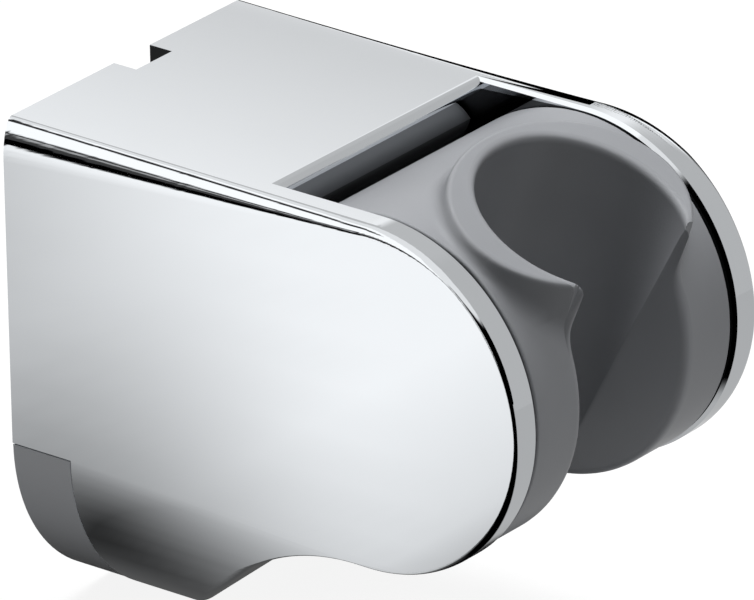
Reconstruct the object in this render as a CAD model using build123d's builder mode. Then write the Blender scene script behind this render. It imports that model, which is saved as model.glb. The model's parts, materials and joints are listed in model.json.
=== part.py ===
"""Hand shower holder: a plated housing that slides onto a wall plate and carries a tilting cradle.

Millimetres. The wall is the plane Y = 0, the holder stands out towards -Y, X is its width and Z is up.
The origin is on the wall, midway between the two screw holes of the wall plate.
"""

from build123d import *
import os
from math import cos, degrees, radians, sin, sqrt, tan

# Housing, outer form
width = 44.0
top_height = 30.0
foot_centre_height = -9.4
foot_slope = 40.0
middle_slope = 35.0
middle_radius = 90.0
sweep_radius = 27.0
level_run = 2.0
pivot_depth = 50.6
nose_radius = 20.7
edge_radius = 1.5

# Housing, walls and mouth
side_wall = 3.0
top_wall = 2.8
web_wall = 2.6
cheek_thickness = 3.9
mouth_top_set_back = 14.2
mouth_foot_set_back = 9.1
mouth_edge_radius = 1.2
mouth_relief = 1.2
cheek_chamfer = 0.4
notch_width = 6.4
notch_depth = 3.2
notch_offset = 1.0

# Cradle
tilt = 24.0
tilt_back = 24.0
tilt_forward = 21.0
drum_step = 0.3
rim_rise = 1.6
bore_offset = 5.0
bore_top_radius = 12.6
bore_foot_radius = 10.5
bore_chamfer = 0.5
collar_offset = 2.0
collar_margin = 1.8
collar_half_depth = 14.0
collar_chamfer = 0.4
collar_foot_chamfer = 1.0
slot_width = 19.2
core_radius = 14.0
core_width = 4.6
core_depth = 4.0
core_arc = 110.0

# Pivot
trunnion_radius = 5.5
trunnion_reach = 1.5
trunnion_chamfer = 0.4
bush_wall = 1.5
bush_flange_radius = 9.0
bush_flange = 0.3

# Friction shoe and its bow spring
shoe_width = 12.0
shoe_height = 8.0
shoe_thickness = 4.0
shoe_angle = 17.0
spring_thickness = 0.4
spring_length = 11.0
spring_width = 7.0
spring_rise = 1.8

# Tilt stop
lug_width = 7.0
lug_thickness = 3.0
lug_rise = 1.8
lug_angle = 30.0

# Wall plate and the slide that holds the housing on it
plate_depth = 8.2
plate_wall = 2.6
flange_thickness = 2.7
rail_depth = 2.4
rail_height = 2.0
rail_set_back = 0.6
rail_margin = 2.0
screw_spacing = 26.0
screw_hole_radius = 2.25
screw_head_radius = 4.2
screw_boss_radius = 6.0
screw_seat_depth = 4.6

# Snap tongue of the wall plate and its catch in the housing
tongue_width = 6.0
tongue_thickness = 1.6
tongue_set_back = 1.2
tongue_head_gap = 0.8
barb_reach = 2.0
barb_face = 0.7
catch_width = 12.0
catch_thickness = 2.0
catch_bar = 1.8
catch_head = 2.0
window_height = 3.0

# Clearances
drum_side_gap = 0.4
saddle_gap = 0.6
shoe_gap = 0.15
pivot_gap = 0.05
trunnion_end_gap = 0.3
slide_gap = 0.4
snap_gap = 0.35
joint_line = 0.2
foot_inset = 0.1
stop_gap = 0.5

# Values that follow from the sizes above
half_width = width / 2
pivot_height = top_height - nose_radius
front_depth = pivot_depth + nose_radius
cheek_foot = pivot_height - nose_radius
foot_bottom = foot_centre_height - half_width
knee_depth = pivot_depth - level_run - sweep_radius * tan(radians(foot_slope / 2))
foot_depth = knee_depth - (cheek_foot - foot_bottom) / tan(radians(foot_slope))
sweep_end_depth = pivot_depth - level_run - sweep_radius * sin(radians(foot_slope))
sweep_end_height = cheek_foot - sweep_radius * (1 - cos(radians(foot_slope)))
ceiling = top_height - top_wall
mouth_half_width = half_width - cheek_thickness
mouth_top_depth = pivot_depth - mouth_top_set_back
drum_half_length = mouth_half_width - drum_side_gap
drum_radius = nose_radius - drum_step
saddle_radius = drum_radius + saddle_gap
rim_height = drum_radius + rim_rise
collar_half_width = drum_half_length - collar_margin
web_lift = web_wall / cos(radians(foot_slope))
cavity_half_width = half_width - side_wall
bush_radius = trunnion_radius + pivot_gap + bush_wall
bush_depth = trunnion_reach + trunnion_end_gap
bore_mouth_radius = bore_top_radius + bore_chamfer
rim_land = collar_half_width - bore_mouth_radius
shoe_face = drum_radius + shoe_gap
shoe_back = shoe_face + shoe_thickness
pocket_floor = shoe_back + spring_rise + spring_thickness
lug_tip = drum_radius + lug_rise
stop_margin = degrees((lug_thickness / 2 + stop_gap) / drum_radius)
flange_back = rail_set_back + rail_depth + slide_gap
tongue_front = tongue_set_back + tongue_thickness
catch_back = tongue_front + slide_gap
window_foot = ceiling - catch_head - window_height
catch_foot = window_foot - catch_bar
plate_top = catch_foot - slide_gap
rail_top = plate_top - rail_margin
tongue_top = ceiling - tongue_head_gap
barb_foot = window_foot + snap_gap
barb_top = window_foot + window_height - snap_gap
past = 1.0


def side_plane(offset, turn=0.0):
    """Plane across the width at X = offset, centred on the pivot, X to the wall and Y up before the turn."""
    back = (0, cos(radians(turn)), sin(radians(turn)))
    return Plane(origin=(offset, -pivot_depth, pivot_height), x_dir=back, z_dir=(1, 0, 0))


def slope_plane():
    """Plane across the underside's middle line where the sweep ends, its normal down the line to the wall."""
    fall = (0, cos(radians(middle_slope)), -sin(radians(middle_slope)))
    return Plane(origin=(0, -sweep_end_depth, sweep_end_height), x_dir=(1, 0, 0), z_dir=fall)


def radial_plane(drop):
    """Plane on the pivot whose normal points to the wall, dropped by an angle below the level."""
    back = (0, cos(radians(drop)), -sin(radians(drop)))
    return Plane(origin=(0, -pivot_depth, pivot_height), x_dir=(1, 0, 0), z_dir=back)


def section_plane(drop):
    """Plane through the pivot axis whose local Y points to the wall, dropped by an angle below the level."""
    normal = (0, sin(radians(drop)), cos(radians(drop)))
    return Plane(origin=(0, -pivot_depth, pivot_height), x_dir=(1, 0, 0), z_dir=normal)


def front_outline(half, top):
    """Front outline: a flat top, straight sides and a half-round foot."""
    with BuildLine() as outline:
        Polyline((-half, foot_centre_height), (-half, top), (half, top), (half, foot_centre_height))
        ThreePointArc(
            (half, foot_centre_height),
            (0, foot_centre_height - half),
            (-half, foot_centre_height),
        )
    return outline.line


def side_outline():
    """Side outline: level top, round nose, and an underside that sweeps down to the foot at the wall."""
    with BuildLine() as outline:
        Polyline(
            (-pivot_depth, top_height),
            (0, top_height),
            (0, foot_bottom),
            (-foot_depth, foot_bottom),
        )
        FilletPolyline(
            (-foot_depth, foot_bottom),
            (-knee_depth, cheek_foot),
            (-pivot_depth, cheek_foot),
            radius=sweep_radius,
        )
        ThreePointArc(
            (-pivot_depth, cheek_foot),
            (-front_depth, pivot_height),
            (-pivot_depth, top_height),
        )
    return outline.line


def mouth_outline():
    """Gap between the cheeks, about the pivot: an upright lip, the round saddle and an open front."""
    lip = mouth_top_set_back
    lip_foot = sqrt(saddle_radius**2 - lip**2) + mouth_relief
    saddle_top = lip + mouth_relief
    foot = mouth_foot_set_back
    clear = nose_radius + past
    saddle_head = sqrt(saddle_radius**2 - saddle_top**2)
    saddle_foot = -sqrt(saddle_radius**2 - foot**2)
    with BuildLine() as outline:
        Polyline(
            (foot, saddle_foot),
            (foot, -clear),
            (-clear, -clear),
            (-clear, clear),
            (lip, clear),
            (lip, lip_foot),
            (saddle_top, saddle_head),
        )
        ThreePointArc((saddle_top, saddle_head), (saddle_radius, 0), (foot, saddle_foot))
    return outline.line


pivot_axis = Axis((0, -pivot_depth, pivot_height), (1, 0, 0))
cradle_plane = Plane(
    origin=(0, -pivot_depth, pivot_height),
    x_dir=(1, 0, 0),
    z_dir=(0, -sin(radians(tilt)), cos(radians(tilt))),
)
cradle_axis = Axis(cradle_plane.origin, cradle_plane.z_dir)
socket_plane = Plane(
    origin=cradle_plane.from_local_coords((0, -bore_offset, 0)),
    x_dir=(1, 0, 0),
    z_dir=-cradle_plane.y_dir,
)
screw_places = [(0, screw_spacing / 2), (0, -screw_spacing / 2)]
core_path = CenterArc((0, 0), core_radius, -core_arc / 2, core_arc)

# Space inside the housing, open to the wall
with BuildPart() as cavity:
    with BuildSketch(Plane.YZ):
        Polygon(
            (past, ceiling),
            (web_wall - mouth_top_depth, ceiling),
            (web_wall - mouth_top_depth, pivot_height),
            (-pivot_depth, pivot_height),
            (-knee_depth, cheek_foot + web_lift),
            (-foot_depth, foot_bottom + web_lift),
            (past, foot_bottom + web_lift),
            align=None,
        )
    extrude(amount=half_width, both=True)
    with BuildSketch(Plane.XZ.offset(-past)):
        add(front_outline(cavity_half_width, ceiling))
        make_face()
    extrude(amount=pivot_depth + past, mode=Mode.INTERSECT)
    with BuildSketch(side_plane(-half_width)):
        Circle(saddle_radius + web_wall)
    extrude(amount=width, mode=Mode.SUBTRACT)

# Housing: plated shell with two cheeks, the saddle behind the cradle and the slide for the wall plate
with BuildPart() as housing:
    with BuildSketch(Plane.XZ):
        add(front_outline(half_width, top_height))
        make_face()
    extrude(amount=front_depth)
    with BuildSketch(Plane.YZ):
        add(side_outline())
        make_face()
    extrude(amount=half_width, both=True, mode=Mode.INTERSECT)
    cheek_edges = housing.faces().filter_by(Axis.X).edges()
    fillet(cheek_edges.filter_by(lambda edge: edge.center().Y < -past), edge_radius)
    add(cavity.part, mode=Mode.SUBTRACT)

    # Boss for the friction shoe, standing into the hollow
    with BuildSketch(radial_plane(-shoe_angle).offset(saddle_radius)):
        Rectangle(shoe_width + 2 * web_wall, shoe_height + 2 * web_wall)
    extrude(amount=pocket_floor + web_wall - saddle_radius)

    # Mouth for the cradle
    with BuildSketch(side_plane(-mouth_half_width)):
        add(mouth_outline())
        make_face()
    extrude(amount=2 * mouth_half_width, mode=Mode.SUBTRACT)
    mouth_edges = housing.edges().filter_by_position(Axis.Y, -mouth_top_depth, -mouth_top_depth)
    fillet(mouth_edges.sort_by(Axis.Z)[-1], mouth_edge_radius)
    cheek_rims = housing.edges().filter_by(GeomType.CIRCLE).filter_by_position(
        Axis.X, -mouth_half_width, mouth_half_width
    )
    chamfer(cheek_rims.sort_by(Axis.Y)[:2], cheek_chamfer)

    # Shoe pocket and the groove in which the tilt stop travels
    with BuildSketch(radial_plane(-shoe_angle).offset(saddle_radius - past)):
        Rectangle(shoe_width + 2 * shoe_gap, shoe_height + 2 * shoe_gap)
    extrude(amount=pocket_floor - saddle_radius + past, mode=Mode.SUBTRACT)
    with BuildSketch(section_plane(lug_angle + tilt_back + stop_margin)):
        with Locations((0, drum_radius)):
            Rectangle(lug_width + 2 * slide_gap, lug_rise + stop_gap, align=(Align.CENTER, Align.MIN))
    revolve(axis=pivot_axis, revolution_arc=tilt_back + tilt_forward + 2 * stop_margin, mode=Mode.SUBTRACT)

    # Blind seats for the pivot bushes
    with BuildSketch(side_plane(mouth_half_width)):
        Circle(bush_radius)
    extrude(amount=bush_depth, mode=Mode.SUBTRACT)
    with BuildSketch(side_plane(-mouth_half_width)):
        Circle(bush_radius)
    extrude(amount=-bush_depth, mode=Mode.SUBTRACT)

    # Rails that run behind the wall plate's flanges
    with BuildSketch(Plane.XZ.offset(rail_set_back)):
        with Locations((cavity_half_width, foot_centre_height), (-cavity_half_width, foot_centre_height)):
            Rectangle(2 * rail_height, rail_top - foot_centre_height, align=(Align.CENTER, Align.MIN))
        Rectangle(width - 2 * past, 2 * width, mode=Mode.INTERSECT)
    extrude(amount=rail_depth)

    # Catch with its window, hanging from the top wall
    with BuildSketch(Plane.XZ.offset(catch_back)):
        with Locations((notch_offset, catch_foot)):
            Rectangle(catch_width, ceiling - catch_foot, align=(Align.CENTER, Align.MIN))
        with Locations((notch_offset, window_foot)):
            Rectangle(
                tongue_width + 2 * snap_gap,
                window_height,
                align=(Align.CENTER, Align.MIN),
                mode=Mode.SUBTRACT,
            )
    extrude(amount=catch_thickness)

    # Underside hollowed a little along its middle
    with BuildSketch(slope_plane()):
        with Locations((0, middle_radius)):
            Circle(middle_radius)
    extrude(amount=width, mode=Mode.SUBTRACT)

    # Release notch in the top, and the step that leaves the wall plate's foot in view
    with BuildSketch(Plane.XY.offset(ceiling)):
        with Locations((notch_offset, 0)):
            Rectangle(notch_width, 2 * notch_depth)
    extrude(amount=top_wall, mode=Mode.SUBTRACT)
    with BuildSketch(Plane.YZ):
        with Locations((0, foot_centre_height)):
            Rectangle(2 * (plate_depth + joint_line), width, align=(Align.CENTER, Align.MAX))
    extrude(amount=width, both=True, mode=Mode.SUBTRACT)

# Cradle: a drum with a tapered socket, an oval collar and a slot for the hose
with BuildPart() as cradle:
    with BuildSketch(side_plane(-drum_half_length)):
        Circle(drum_radius)
    extrude(amount=2 * drum_half_length)
    with BuildSketch(cradle_plane):
        with Locations((0, -collar_offset)):
            Ellipse(collar_half_width, collar_half_depth)
    extrude(amount=rim_height)
    collar_edges = cradle.edges(Select.LAST)
    chamfer(collar_edges.filter_by(GeomType.BSPLINE), collar_foot_chamfer)
    rim_edge = cradle.edges().filter_by(GeomType.ELLIPSE).sort_by(cradle_axis)[-1]
    chamfer(rim_edge, min(collar_chamfer, rim_land / 2))

    # Tapered socket with a chamfered mouth
    with BuildSketch(socket_plane):
        Polygon(
            (bore_foot_radius, -rim_height),
            (bore_top_radius, rim_height - bore_chamfer),
            (bore_mouth_radius, rim_height),
            (bore_mouth_radius, rim_height + past),
            (0, rim_height + past),
            (0, -rim_height),
            align=None,
        )
    revolve(axis=Axis(socket_plane.origin, socket_plane.y_dir), mode=Mode.SUBTRACT)

    # Slot for the hose
    with BuildSketch(cradle_plane):
        with Locations((0, -bore_offset)):
            Rectangle(slot_width, 2 * drum_radius, align=(Align.CENTER, Align.MAX))
    extrude(amount=2 * rim_height, both=True, mode=Mode.SUBTRACT)

    # Trunnions, the hollows that keep the wall even, and the tilt stop
    with BuildSketch(side_plane(drum_half_length)):
        Circle(trunnion_radius)
    extrude(amount=drum_side_gap + trunnion_reach)
    with BuildSketch(side_plane(-drum_half_length)):
        Circle(trunnion_radius)
    extrude(amount=-drum_side_gap - trunnion_reach)
    trunnion_ends = cradle.faces().filter_by(Axis.X).sort_by(Axis.X)
    chamfer(trunnion_ends[0].edges() + trunnion_ends[-1].edges(), trunnion_chamfer)
    with BuildSketch(side_plane(drum_half_length, tilt)):
        SlotArc(core_path, core_width)
    extrude(amount=-core_depth, mode=Mode.SUBTRACT)
    with BuildSketch(side_plane(-drum_half_length, tilt)):
        SlotArc(core_path, core_width)
    extrude(amount=core_depth, mode=Mode.SUBTRACT)
    with BuildSketch(radial_plane(lug_angle).offset(drum_radius - past)):
        Rectangle(lug_width, lug_thickness)
    extrude(amount=lug_rise + past)

# Pivot bushes, pressed into the cheeks with a thin flange against the drum
with BuildPart() as bush_right:
    with BuildSketch(side_plane(mouth_half_width)):
        Circle(bush_radius)
    extrude(amount=bush_depth)
    with BuildSketch(side_plane(mouth_half_width)):
        Circle(bush_flange_radius)
    extrude(amount=-bush_flange)
    with BuildSketch(side_plane(mouth_half_width - bush_flange)):
        Circle(trunnion_radius + pivot_gap)
    extrude(amount=bush_flange + bush_depth, mode=Mode.SUBTRACT)

with BuildPart() as bush_left:
    mirror(bush_right.part, about=Plane.YZ)

# Friction shoe, hollowed to the drum
with BuildPart() as shoe:
    with BuildSketch(radial_plane(-shoe_angle)):
        Rectangle(shoe_width, shoe_height)
    extrude(amount=shoe_back)
    with BuildSketch(side_plane(-half_width)):
        Circle(shoe_face)
    extrude(amount=width, mode=Mode.SUBTRACT)

# Bow spring behind the shoe
with BuildPart() as spring:
    with BuildSketch(section_plane(-shoe_angle)):
        with BuildLine():
            near_end = pocket_floor - spring_thickness
            ThreePointArc((-spring_length / 2, near_end), (0, shoe_back), (spring_length / 2, near_end))
            Line((spring_length / 2, near_end), (spring_length / 2, pocket_floor))
            ThreePointArc(
                (spring_length / 2, pocket_floor),
                (0, shoe_back + spring_thickness),
                (-spring_length / 2, pocket_floor),
            )
            Line((-spring_length / 2, pocket_floor), (-spring_length / 2, near_end))
        make_face()
    extrude(amount=spring_width / 2, both=True)

# Wall plate: a grooved upright, a half-round foot that shows below the housing, and the snap tongue
with BuildPart() as plate:
    upright = plate_top - foot_centre_height
    with BuildSketch(Plane.XZ):
        with Locations((0, foot_centre_height - past)):
            Rectangle(
                2 * (cavity_half_width - rail_height - slide_gap),
                upright + past,
                align=(Align.CENTER, Align.MIN),
            )
    extrude(amount=flange_back)
    with BuildSketch(Plane.XZ.offset(flange_back)):
        with Locations((0, foot_centre_height - past)):
            Rectangle(2 * (cavity_half_width - slide_gap), upright + past, align=(Align.CENTER, Align.MIN))
    extrude(amount=flange_thickness)
    with BuildSketch(Plane.XZ):
        with Locations((0, foot_centre_height)):
            Circle(half_width - foot_inset)
        with Locations((0, foot_centre_height - joint_line)):
            Rectangle(width, width, align=(Align.CENTER, Align.MAX), mode=Mode.INTERSECT)
    extrude(amount=plate_depth)

    # Hollowed from the wall side, with a boss round each screw
    with BuildSketch(Plane.XZ):
        with Locations((0, foot_centre_height)):
            Circle(half_width - foot_inset - plate_wall)
        with Locations((0, foot_centre_height - joint_line - plate_wall)):
            Rectangle(width, width, align=(Align.CENTER, Align.MAX), mode=Mode.INTERSECT)
    extrude(amount=plate_depth - plate_wall, mode=Mode.SUBTRACT)
    with BuildSketch(Plane.XZ):
        with Locations((0, foot_centre_height)):
            Rectangle(
                2 * (cavity_half_width - rail_height - slide_gap - plate_wall),
                upright - plate_wall,
                align=(Align.CENTER, Align.MIN),
            )
    extrude(amount=flange_back, mode=Mode.SUBTRACT)
    with BuildSketch(Plane.XZ):
        with Locations(*screw_places):
            Circle(screw_boss_radius)
    extrude(amount=screw_seat_depth)
    with BuildSketch(Plane.XZ.offset(screw_seat_depth)):
        with Locations(*screw_places):
            Circle(screw_head_radius)
    extrude(amount=plate_depth, mode=Mode.SUBTRACT)
    with BuildSketch(Plane.XZ):
        with Locations(*screw_places):
            Circle(screw_hole_radius)
    extrude(amount=plate_depth, mode=Mode.SUBTRACT)

    # Snap tongue with its barb
    with BuildSketch(Plane.YZ.offset(notch_offset)):
        with BuildLine():
            Polyline(
                (-tongue_set_back, plate_top - past),
                (-tongue_set_back, tongue_top),
                (-tongue_front, tongue_top),
                (-tongue_front, barb_top),
                (-tongue_front - barb_reach, barb_foot + barb_face),
                (-tongue_front - barb_reach, barb_foot),
                (-tongue_front, barb_foot),
                (-tongue_front, plate_top - past),
                close=True,
            )
        make_face()
    extrude(amount=tongue_width / 2, both=True)

pieces = {
    "housing": housing,
    "wall_plate": plate,
    "swivel_cradle": cradle,
    "pivot_bush_left": bush_left,
    "pivot_bush_right": bush_right,
    "friction_shoe": shoe,
    "shoe_spring": spring,
}
os.makedirs("parts", exist_ok=True)
for name, piece in pieces.items():
    piece.part.label = name
    export_step(piece.part, f"parts/{name}.step")
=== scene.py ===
"""Looks of the hand shower holder: plated housing, moulded cradle and wall plate in a small studio.

Sizes are millimetres in the holder's own frame: the wall is Y = 0, the holder stands out towards -Y and
Z is up.
"""

import json
import logging
from dataclasses import dataclass, field
from enum import Enum
from math import atan2, cos, pi, radians, sin
from typing import Any, Callable, Sequence

import bpy
import numpy as np
from mathutils import Matrix, Vector


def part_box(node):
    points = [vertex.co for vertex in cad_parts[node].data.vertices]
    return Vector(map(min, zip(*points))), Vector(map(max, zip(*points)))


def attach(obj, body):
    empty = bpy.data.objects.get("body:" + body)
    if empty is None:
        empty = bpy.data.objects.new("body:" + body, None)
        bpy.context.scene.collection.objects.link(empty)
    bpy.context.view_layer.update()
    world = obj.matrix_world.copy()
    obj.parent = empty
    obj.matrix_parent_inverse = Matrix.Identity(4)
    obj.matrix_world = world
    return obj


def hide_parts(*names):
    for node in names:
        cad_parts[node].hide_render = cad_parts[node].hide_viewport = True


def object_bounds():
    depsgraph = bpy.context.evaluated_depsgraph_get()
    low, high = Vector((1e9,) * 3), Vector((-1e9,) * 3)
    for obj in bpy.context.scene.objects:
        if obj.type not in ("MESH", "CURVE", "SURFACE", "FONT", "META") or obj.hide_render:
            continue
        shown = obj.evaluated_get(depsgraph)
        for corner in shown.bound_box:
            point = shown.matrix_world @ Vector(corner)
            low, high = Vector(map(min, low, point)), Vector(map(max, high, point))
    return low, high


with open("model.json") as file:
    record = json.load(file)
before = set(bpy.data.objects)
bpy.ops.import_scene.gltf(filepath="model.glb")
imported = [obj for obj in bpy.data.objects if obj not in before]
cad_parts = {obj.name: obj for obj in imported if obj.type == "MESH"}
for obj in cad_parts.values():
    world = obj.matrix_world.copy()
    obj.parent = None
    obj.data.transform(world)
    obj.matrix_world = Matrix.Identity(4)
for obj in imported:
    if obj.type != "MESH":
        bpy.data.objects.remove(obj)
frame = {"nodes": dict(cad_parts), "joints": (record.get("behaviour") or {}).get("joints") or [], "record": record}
CAD_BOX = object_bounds()

LOG = logging.getLogger("hand_shower_holder")
MM = 0.001
PHOTO_WIDTH = 754
TINY = 1e-12
HALVINGS = 40
SQUARE = 90.0
CLOUD_DETAIL = 3.0
Array = np.ndarray


def smooth_step(low: float, high: float, value: Array) -> Array:
    """Rises from 0 to 1 between two values with a level start and end: 3t^2 - 2t^3.

    Args:
        low: value at which the step starts.
        high: value at which it is complete.
        value: where it is wanted.

    Returns:
        The share of the step, 0 to 1.
    """
    share = np.clip((value - low) / (high - low), 0.0, 1.0)
    return share * share * (3.0 - 2.0 * share)


def soft_min(one: Array, other: Array, reach: float) -> Array:
    """The lesser of two distances, with the corner where they cross filled by a round of a given reach.

    Args:
        one: first distance.
        other: second distance.
        reach: how far from the crossing the round starts.

    Returns:
        min(one, other) less (reach - |one - other|)^2 / (4 reach) within the reach.
    """
    near = np.maximum(reach - np.abs(one - other), 0.0)
    return np.minimum(one, other) - near * near / (4.0 * reach)


def soft_max(one: Array, other: Array, reach: float) -> Array:
    """The greater of two distances, with its corner rounded off: the mirror of soft_min."""
    return -soft_min(-one, -other, reach)


def mix(start: Array, end: Array, share: Array) -> Array:
    """Straight mix of two arrays, share 0 at the start and 1 at the end."""
    return start + (end - start) * share


def holder_middle() -> Array:
    """Middle of the CAD model's box."""
    low, high = [np.array(corner) / MM for corner in CAD_BOX]
    return 0.5 * (low + high)


@dataclass
class Shell:
    """Points and triangles of a piece, in millimetres."""

    points: Array
    faces: Array

    @classmethod
    def grid(cls, points: Array) -> "Shell":
        """Two triangles for each cell of a grid of points.

        Args:
            points: grid of rows by columns by 3.

        Returns:
            The shell of that grid.
        """
        rows, columns = points.shape[:2]
        index = np.arange(rows * columns).reshape(rows, columns)
        corners = [index[:-1, :-1], index[1:, :-1], index[1:, 1:], index[:-1, 1:]]
        a, b, c, d = [corner.ravel() for corner in corners]
        faces = np.concatenate([np.stack([a, b, c], 1), np.stack([a, c, d], 1)])
        return cls(points.reshape(-1, 3), faces)

    @classmethod
    def of_node(cls, node: str) -> "Shell":
        """Copy of a CAD node's triangles with their shared corners merged.

        Args:
            node: name of the node.

        Returns:
            The merged shell.
        """
        mesh = frame["nodes"][node].data
        mesh.calc_loop_triangles()
        points = np.empty(len(mesh.vertices) * 3)
        mesh.vertices.foreach_get("co", points)
        faces = np.empty(len(mesh.loop_triangles) * 3, dtype=np.int32)
        mesh.loop_triangles.foreach_get("vertices", faces)
        return cls(points.reshape(-1, 3) / MM, faces.reshape(-1, 3)).welded()

    @classmethod
    def joined(cls, shells: Sequence["Shell"]) -> "Shell":
        """Several shells as one, with the seams between them merged."""
        starts = np.cumsum([0] + [len(shell.points) for shell in shells[:-1]])
        points = np.concatenate([shell.points for shell in shells])
        faces = np.concatenate([shell.faces + start for shell, start in zip(shells, starts)])
        return cls(points, faces).welded()

    def welded(self, grain: float = 2e-4) -> "Shell":
        """Merges the points that lie in the same grain of space and drops faces that shrink to nothing.

        Args:
            grain: size of the grain in millimetres.

        Returns:
            The welded shell.
        """
        _, first, place = np.unique(
            np.round(self.points / grain).astype(np.int64), axis=0, return_index=True, return_inverse=True
        )
        faces = place.ravel()[self.faces]
        a, b, c = faces.T
        return Shell(self.points[first], faces[(a != b) & (b != c) & (c != a)])

    def split(self, flagged: Array, edges: Array, place: Array, middles: Array) -> "Shell":
        """Cuts the flagged edges at given points, and each face by how many of its edges are cut.

        Args:
            flagged: which edges are cut.
            edges: each edge once, as a pair of points; not used.
            place: the edge of each side of each face.
            middles: new points, one for each edge that is cut.

        Returns:
            The finer shell.
        """
        fresh = np.where(flagged, len(self.points) + np.cumsum(flagged) - 1, -1)
        cuts = fresh[place]
        count = (cuts >= 0).sum(axis=1)
        only_cut, after_uncut = np.argmax(cuts >= 0, axis=1), (np.argmin(cuts, axis=1) + 1) % 3
        turns = np.select([count == 1, count == 2], [only_cut, after_uncut], 0)
        order = (np.arange(3)[None, :] + turns[:, None]) % 3
        a, b, c = np.take_along_axis(self.faces, order, axis=1).T
        m, n, o = np.take_along_axis(cuts, order, axis=1).T
        layouts = {
            0: [(a, b, c)],
            1: [(a, m, c), (m, b, c)],
            2: [(m, b, n), (a, m, n), (a, n, c)],
            3: [(a, m, o), (m, b, n), (o, n, c), (m, n, o)],
        }
        faces = [np.stack(face, axis=1)[count == k] for k, layout in layouts.items() for face in layout]
        return Shell(np.concatenate([self.points, middles]), np.concatenate(faces))

    def sides(self) -> tuple[Array, Array]:
        """Each edge once, as a pair of points, and the edge of each side of each face."""
        pairs = np.stack([self.faces, np.roll(self.faces, -1, axis=1)], axis=-1).reshape(-1, 2)
        edges, place = np.unique(np.sort(pairs, axis=1), axis=0, return_inverse=True)
        return edges, place.reshape(-1, 3)

    def mirrored(self, axis: int) -> "Shell":
        """The shell on the other side of a middle plane, with its faces turned to point outwards again."""
        sign = np.ones(3)
        sign[axis] = -1.0
        return Shell(self.points * sign, self.faces[:, ::-1])

    def face_vectors(self) -> Array:
        """Vector area of each triangle: half the cross product of two of its sides."""
        a, b, c = [self.points[self.faces[:, corner]] for corner in range(3)]
        return 0.5 * np.cross(b - a, c - a)

    def volume(self) -> float:
        """Volume inside the shell: a third of the sum of each corner times its face's vector area."""
        return float((self.points[self.faces[:, 0]] * self.face_vectors()).sum() / 3.0)

    def outward(self) -> "Shell":
        """The shell with its faces turned so that its volume is positive."""
        return self if self.volume() >= 0.0 else Shell(self.points, self.faces[:, ::-1])

    def corner_normals(self, crease: float) -> Array:
        """Shading normal of each face corner.

        At a point, the vector areas of the faces that lie within the crease angle of the corner's own face
        are added up. Large flat faces so keep their own direction, rounds shade smoothly and sharp edges stay
        sharp.

        Args:
            crease: crease angle in degrees.

        Returns:
            One unit vector for each corner, in the order of the faces.
        """
        areas = self.face_vectors()
        units = areas / np.maximum(np.linalg.norm(areas, axis=1, keepdims=True), TINY)
        holder = self.faces.ravel()
        order = np.argsort(holder, kind="stable")
        counts = np.bincount(holder, minlength=len(self.points))
        starts = np.cumsum(counts) - counts
        partners = counts[holder[order]]
        within = np.arange(partners.sum()) - np.repeat(np.cumsum(partners) - partners, partners)
        one = np.repeat(order, partners)
        other = order[np.repeat(starts[holder[order]], partners) + within]
        facing = (units[one // 3] * units[other // 3]).sum(axis=1) > cos(radians(crease))
        weighted = areas[other // 3] * facing[:, None]
        total = np.stack([np.bincount(one, weighted[:, k], len(holder)) for k in range(3)], axis=1)
        return total / np.maximum(np.linalg.norm(total, axis=1, keepdims=True), TINY)

    def to_object(self, name: str, crease: float) -> bpy.types.Object:
        """Makes the shell a mesh object at the origin, in metres.

        Args:
            name: name of the object.
            crease: crease angle in degrees for its shading.

        Returns:
            The linked object.
        """
        mesh = bpy.data.meshes.new(name)
        mesh.vertices.add(len(self.points))
        mesh.vertices.foreach_set("co", (self.points * MM).ravel())
        mesh.loops.add(self.faces.size)
        mesh.loops.foreach_set("vertex_index", self.faces.ravel().astype(np.int32))
        mesh.polygons.add(len(self.faces))
        mesh.polygons.foreach_set("loop_start", np.arange(0, self.faces.size, 3, dtype=np.int32))
        mesh.update(calc_edges=True)
        mesh.normals_split_custom_set(self.corner_normals(crease))
        piece = bpy.data.objects.new(name, mesh)
        bpy.context.scene.collection.objects.link(piece)
        return piece


class Wire:
    """A shader socket that takes part in Python arithmetic: each operator adds a Math node."""

    def __init__(self, tree: bpy.types.NodeTree, socket: bpy.types.NodeSocket) -> None:
        """Wraps a socket of a node tree."""
        self.tree = tree
        self.socket = socket

    def _math(self, operation: str, first: Any, second: Any) -> "Wire":
        """Adds one Math node on two values or wires and gives its result."""
        return NodeKit(self.tree).add("ShaderNodeMath", {"operation": operation}, {0: first, 1: second})

    def __add__(self, other: Any) -> "Wire":
        """Sum."""
        return self._math("ADD", self, other)

    def __radd__(self, other: Any) -> "Wire":
        """Sum with a number on the left."""
        return self._math("ADD", other, self)

    def __sub__(self, other: Any) -> "Wire":
        """Difference."""
        return self._math("SUBTRACT", self, other)

    def __mul__(self, other: Any) -> "Wire":
        """Product."""
        return self._math("MULTIPLY", self, other)

    def __rmul__(self, other: Any) -> "Wire":
        """Product with a number on the left."""
        return self._math("MULTIPLY", other, self)

    def at_most(self, other: Any) -> "Wire":
        """The lesser of two values."""
        return self._math("MINIMUM", self, other)


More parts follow.
